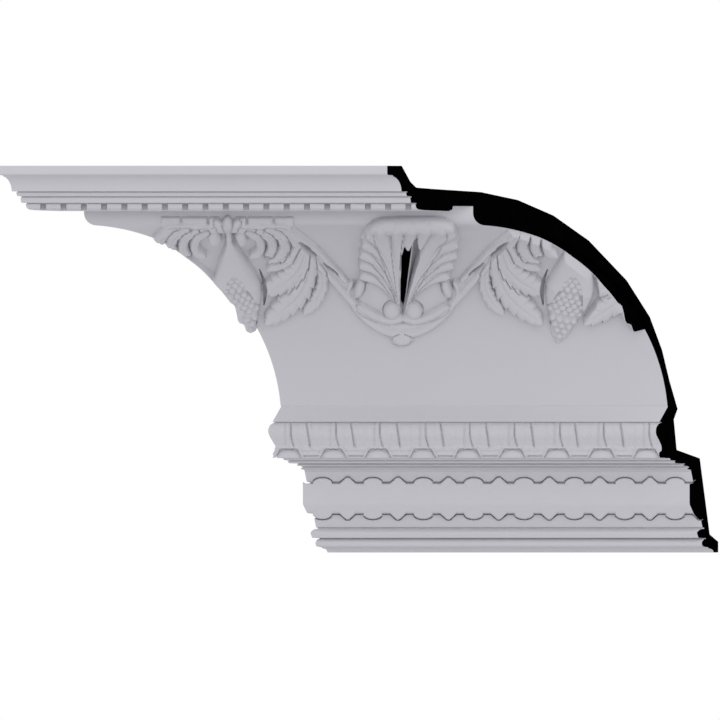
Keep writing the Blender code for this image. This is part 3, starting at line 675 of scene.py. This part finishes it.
def ornamentSheet(name, line, drawnUp, xFrom, xTo, draw, style):
    # a fine grid laid on rows of the section and raised by the drawing, then given a back
    columns, rows = int((xTo - xFrom) / style["cell"]) + 1, len(line)
    x = np.broadcast_to(np.linspace(xFrom, xTo, columns)[None, :], (rows, columns))
    height = draw(x, np.broadcast_to(drawnUp[:, None], x.shape))
    bm = bmesh.new()
    bmesh.ops.create_grid(bm, x_segments=columns - 1, y_segments=rows - 1, size=1)
    cellOf = bm.verts.layers.int.new("cell")
    flat = np.array([v.co for v in bm.verts])
    row = np.rint((flat[:, 1] + 1) / 2 * (rows - 1)).astype(int)
    column = np.rint((flat[:, 0] + 1) / 2 * (columns - 1)).astype(int)

    def spots(rise):
        out, up = line[row, 0] + rise * line[row, 2], line[row, 1] + rise * line[row, 3]
        return np.stack([x[row, column], -out, up], 1) * mm

    rise = height[row, column]
    front, back = spots(rise), spots(np.full(rise.shape, style["under"] - style["sheet"]))
    for k, vert in enumerate(bm.verts):
        vert[cellOf] = k
        vert.co = front[k]
    bare = rise <= style["under"] + 0.05
    gone = [f for f in bm.faces if all(bare[v[cellOf]] for v in f.verts)]
    bmesh.ops.delete(bm, geom=gone, context="FACES")
    grown = bmesh.ops.extrude_face_region(bm, geom=bm.faces[:])["geom"]
    for vert in grown:
        if isinstance(vert, bmesh.types.BMVert):
            vert.co = back[vert[cellOf]]
    bmesh.ops.recalc_face_normals(bm, faces=bm.faces)
    cutMitres(bm)
    bm.verts.layers.int.remove(cellOf)
    return link(name, bm, 75)


# Materials

class Value:
    # a socket that takes part in sums
    def __init__(self, tree, socket):
        self.tree, self.socket = tree, socket

    def sum(self, operation, *values):
        node = self.tree.nodes.new("ShaderNodeMath")
        node.operation = operation
        for slot, value in zip(node.inputs, values):
            if isinstance(value, Value):
                self.tree.links.new(value.socket, slot)
            else:
                slot.default_value = value
        return Value(self.tree, node.outputs[0])

    def __add__(self, other): return self.sum("ADD", self, other)
    def __radd__(self, other): return self.sum("ADD", other, self)
    def __mul__(self, other): return self.sum("MULTIPLY", self, other)
    def __rmul__(self, other): return self.sum("MULTIPLY", other, self)


class Finish:
    # one material and the nodes behind it
    def __init__(self, name):
        self.material = bpy.data.materials.new(name)
        self.material.use_nodes = True
        self.tree = self.material.node_tree
        self.shader = self.tree.nodes["Principled BSDF"]

    def node(self, kind, settings=None, **sockets):
        node = self.tree.nodes.new(kind)
        for key, value in (settings or {}).items():
            setattr(node, key, value)
        for key, value in sockets.items():
            self.feed(node, key, value)
        return node

    def feed(self, node, key, value):
        if isinstance(value, Value):
            value = value.socket
        if isinstance(value, bpy.types.NodeSocket):
            self.tree.links.new(value, node.inputs[key])
        else:
            node.inputs[key].default_value = value

    def mix(self, factor, one, other):
        node = self.node("ShaderNodeMix", {"data_type": "RGBA"})
        for key, value in ((0, factor), (6, one), (7, other)):
            self.feed(node, key, value)
        return node.outputs[2]


primer = {
    "pale": (0.545, 0.535, 0.575, 1), "dull": (0.515, 0.505, 0.543, 1),
    "mottle": 9.0, "speck": 130.0, "grain": 420.0,  # how fine each pattern is
    "grainDepth": 0.00012,  # in metres
    "roughLow": 0.5, "roughHigh": 0.68,
}


def factoryPrimer():
    # sprayed primer: faint clouds of tone, a fine orange-peel grain and a slightly uneven sheen
    f = Finish("factoryPrimer")
    place = f.node("ShaderNodeTexCoord").outputs["Object"]
    clouds = f.node("ShaderNodeTexNoise", Vector=place, Scale=primer["mottle"], Detail=4.0, Roughness=0.55)
    specks = f.node("ShaderNodeTexNoise", Vector=place, Scale=primer["speck"], Detail=3.0, Roughness=0.6)
    grain = f.node("ShaderNodeTexNoise", Vector=place, Scale=primer["grain"], Detail=2.0, Roughness=0.5)
    cloud, speck = Value(f.tree, clouds.outputs[0]), Value(f.tree, specks.outputs[0])
    tone = cloud * 0.7 + speck * 0.3
    f.feed(f.shader, "Base Color", f.mix(tone, primer["dull"], primer["pale"]))
    spread = primer["roughHigh"] - primer["roughLow"]
    f.feed(f.shader, "Roughness", primer["roughLow"] + tone * spread)
    bump = f.node("ShaderNodeBump", Height=grain.outputs[0], Strength=0.35, Distance=primer["grainDepth"])
    f.feed(f.shader, "Normal", bump.outputs[0])
    f.shader.inputs["Specular IOR Level"].default_value = 0.25
    return f.material


# the black of the cut sections, which is also painted as shade on the cleft's floor
sectionInkAndPaintedShade = {"dark": (0.0, 0.0, 0.0, 1), "worn": (0.0012, 0.0012, 0.0012, 1)}


def sectionInkAndCleftShade():
    # the cut section, inked black so that the profile reads; the same black is painted as shade on the floor
    # of the cleft
    f = Finish("sectionInkAndCleftShade")
    place = f.node("ShaderNodeTexCoord").outputs["Object"]
    blot = f.node("ShaderNodeTexNoise", Vector=place, Scale=60.0, Detail=3.0)
    f.feed(f.shader, "Base Color", f.mix(blot.outputs[0], sectionInkAndPaintedShade["dark"], sectionInkAndPaintedShade["worn"]))
    f.feed(f.shader, "Roughness", 0.85 + Value(f.tree, blot.outputs[0]) * 0.1)
    f.shader.inputs["Specular IOR Level"].default_value = 0.0
    return f.material


floorTones = {"dull": (0.80, 0.80, 0.81, 1), "pale": (0.84, 0.84, 0.85, 1)}


def paleFloor():
    f = Finish("paleFloor")
    place = f.node("ShaderNodeTexCoord").outputs["Object"]
    blot = f.node("ShaderNodeTexNoise", Vector=place, Scale=1.5, Detail=2.0)
    f.feed(f.shader, "Base Color", f.mix(blot.outputs[0], floorTones["dull"], floorTones["pale"]))
    f.shader.inputs["Roughness"].default_value = 0.9
    return f.material


# Putting it together

# the black material inks the cut sections and paints shade on the floor of the cleft
primerCoat, blackInkAndPaintedShade = factoryPrimer(), sectionInkAndCleftShade()
line = carvedLine(*festoon["rows"])
drawnUp = line[:, 1] + festoon["relief"] * line[:, 3]

body = sweep()
carve(body, gapCutters())
carve(body, pitCutters(line, drawnUp))
carve(body, cleftCutter(line, drawnUp))
finishBody(body)
print("body", len(body.data.polygons))

axis = festoon["axis"]
sprays = []
for name, xFrom, xTo in festoon["sheets"]:
    piece = ornamentSheet(name, line, drawnUp, axis + xFrom, axis + xTo, drawFestoon, festoon)
    sprays.append(piece)
    print(name, len(piece.data.polygons))

torusRows = np.linspace(leaves["top"], leaves["low"], leaves["rows"])
torusLine = np.array([(leaves["core"], up, 1.0, 0.0) for up in torusRows])
past, short = leaves["reach"]
torus = ornamentSheet("torusLeaves", torusLine, torusRows, -halfLength - past, halfLength - short,
                      drawLeaves, leaves)
print("torus", len(torus.data.polygons))

(topOut, topUp), (footOut, footUp) = frieze["top"], frieze["foot"]
bandRows = np.concatenate([np.linspace(*rows) for rows in band["rows"]])
wallOut = topOut - (topUp - bandRows) * (topOut - footOut) / (topUp - footUp)
bandLine = np.stack([wallOut, bandRows, np.ones(len(bandRows)), np.zeros(len(bandRows))], 1)
past, short = band["reach"]
friezeBand = ornamentSheet("friezeBand", bandLine, bandRows, -halfLength - past, halfLength - short,
                           drawBand, band)
print("band", len(friezeBand.data.polygons))

for piece in [body, *sprays, torus, friezeBand]:
    # index 1 marks the inked section faces and the cleft floor painted black as shade
    inkAndPaintedShadeFaces = np.array([face.material_index for face in piece.data.polygons], dtype=np.int32)
    piece.data.materials.clear()
    piece.data.materials.append(primerCoat)
    piece.data.materials.append(blackInkAndPaintedShade)
    piece.data.polygons.foreach_set("material_index", inkAndPaintedShadeFaces)
    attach(piece, "root")
    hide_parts("crown_moulding")


# Floor, light and camera

studio = {  # metres and degrees, and the lens in millimetres
    "floorUp": -0.30, "floorSize": 5.0, "ambient": 0.95, "front": 0.5, "softness": 50, "tilt": 74,
    "lens": 1700.0, "sensor": 36.0, "frameWidth": 0.93376, "frameAt": (-0.21515, -0.2, 0.24376),
}

bm = bmesh.new()
bmesh.ops.create_grid(bm, x_segments=4, y_segments=4, size=studio["floorSize"] / 2)
bmesh.ops.translate(bm, verts=bm.verts, vec=(-0.2, -0.2, studio["floorUp"]))  # under the moulding
floor = link("floor", bm)
floor.data.materials.append(paleFloor())

world = bpy.data.worlds.new("studio")
bpy.context.scene.world = world
world.use_nodes = True
tree = world.node_tree
backdrop = tree.nodes["Background"]
backdrop.inputs["Color"].default_value = (1, 1, 1, 1)
backdrop.inputs["Strength"].default_value = studio["ambient"]
seen = tree.nodes.new("ShaderNodeBackground")
seen.inputs["Color"].default_value = (1, 1, 1, 1)
path = tree.nodes.new("ShaderNodeLightPath")
blend = tree.nodes.new("ShaderNodeMixShader")
tree.links.new(path.outputs["Is Camera Ray"], blend.inputs[0])
tree.links.new(backdrop.outputs[0], blend.inputs[1])
tree.links.new(seen.outputs[0], blend.inputs[2])
tree.links.new(blend.outputs[0], tree.nodes["World Output"].inputs["Surface"])

sun = bpy.data.lights.new("frontLight", "SUN")
sun.energy = studio["front"]
sun.angle = math.radians(studio["softness"])
frontLight = bpy.data.objects.new("frontLight", sun)
frontLight.rotation_euler = (math.radians(studio["tilt"]), 0, 0)
bpy.context.scene.collection.objects.link(frontLight)

camera = bpy.data.cameras.new("photoView")
camera.lens, camera.sensor_width = studio["lens"], studio["sensor"]
camera.clip_start, camera.clip_end = 1.0, 120.0
view = bpy.data.objects.new("photoView", camera)
frameX, frameY, frameZ = studio["frameAt"]
view.location = (frameX, frameY - studio["frameWidth"] * studio["lens"] / studio["sensor"], frameZ)
view.rotation_euler = (math.radians(90), 0, 0)
bpy.context.scene.collection.objects.link(view)
bpy.context.scene.camera = view
bpy.context.scene.view_settings.view_transform = "Standard"
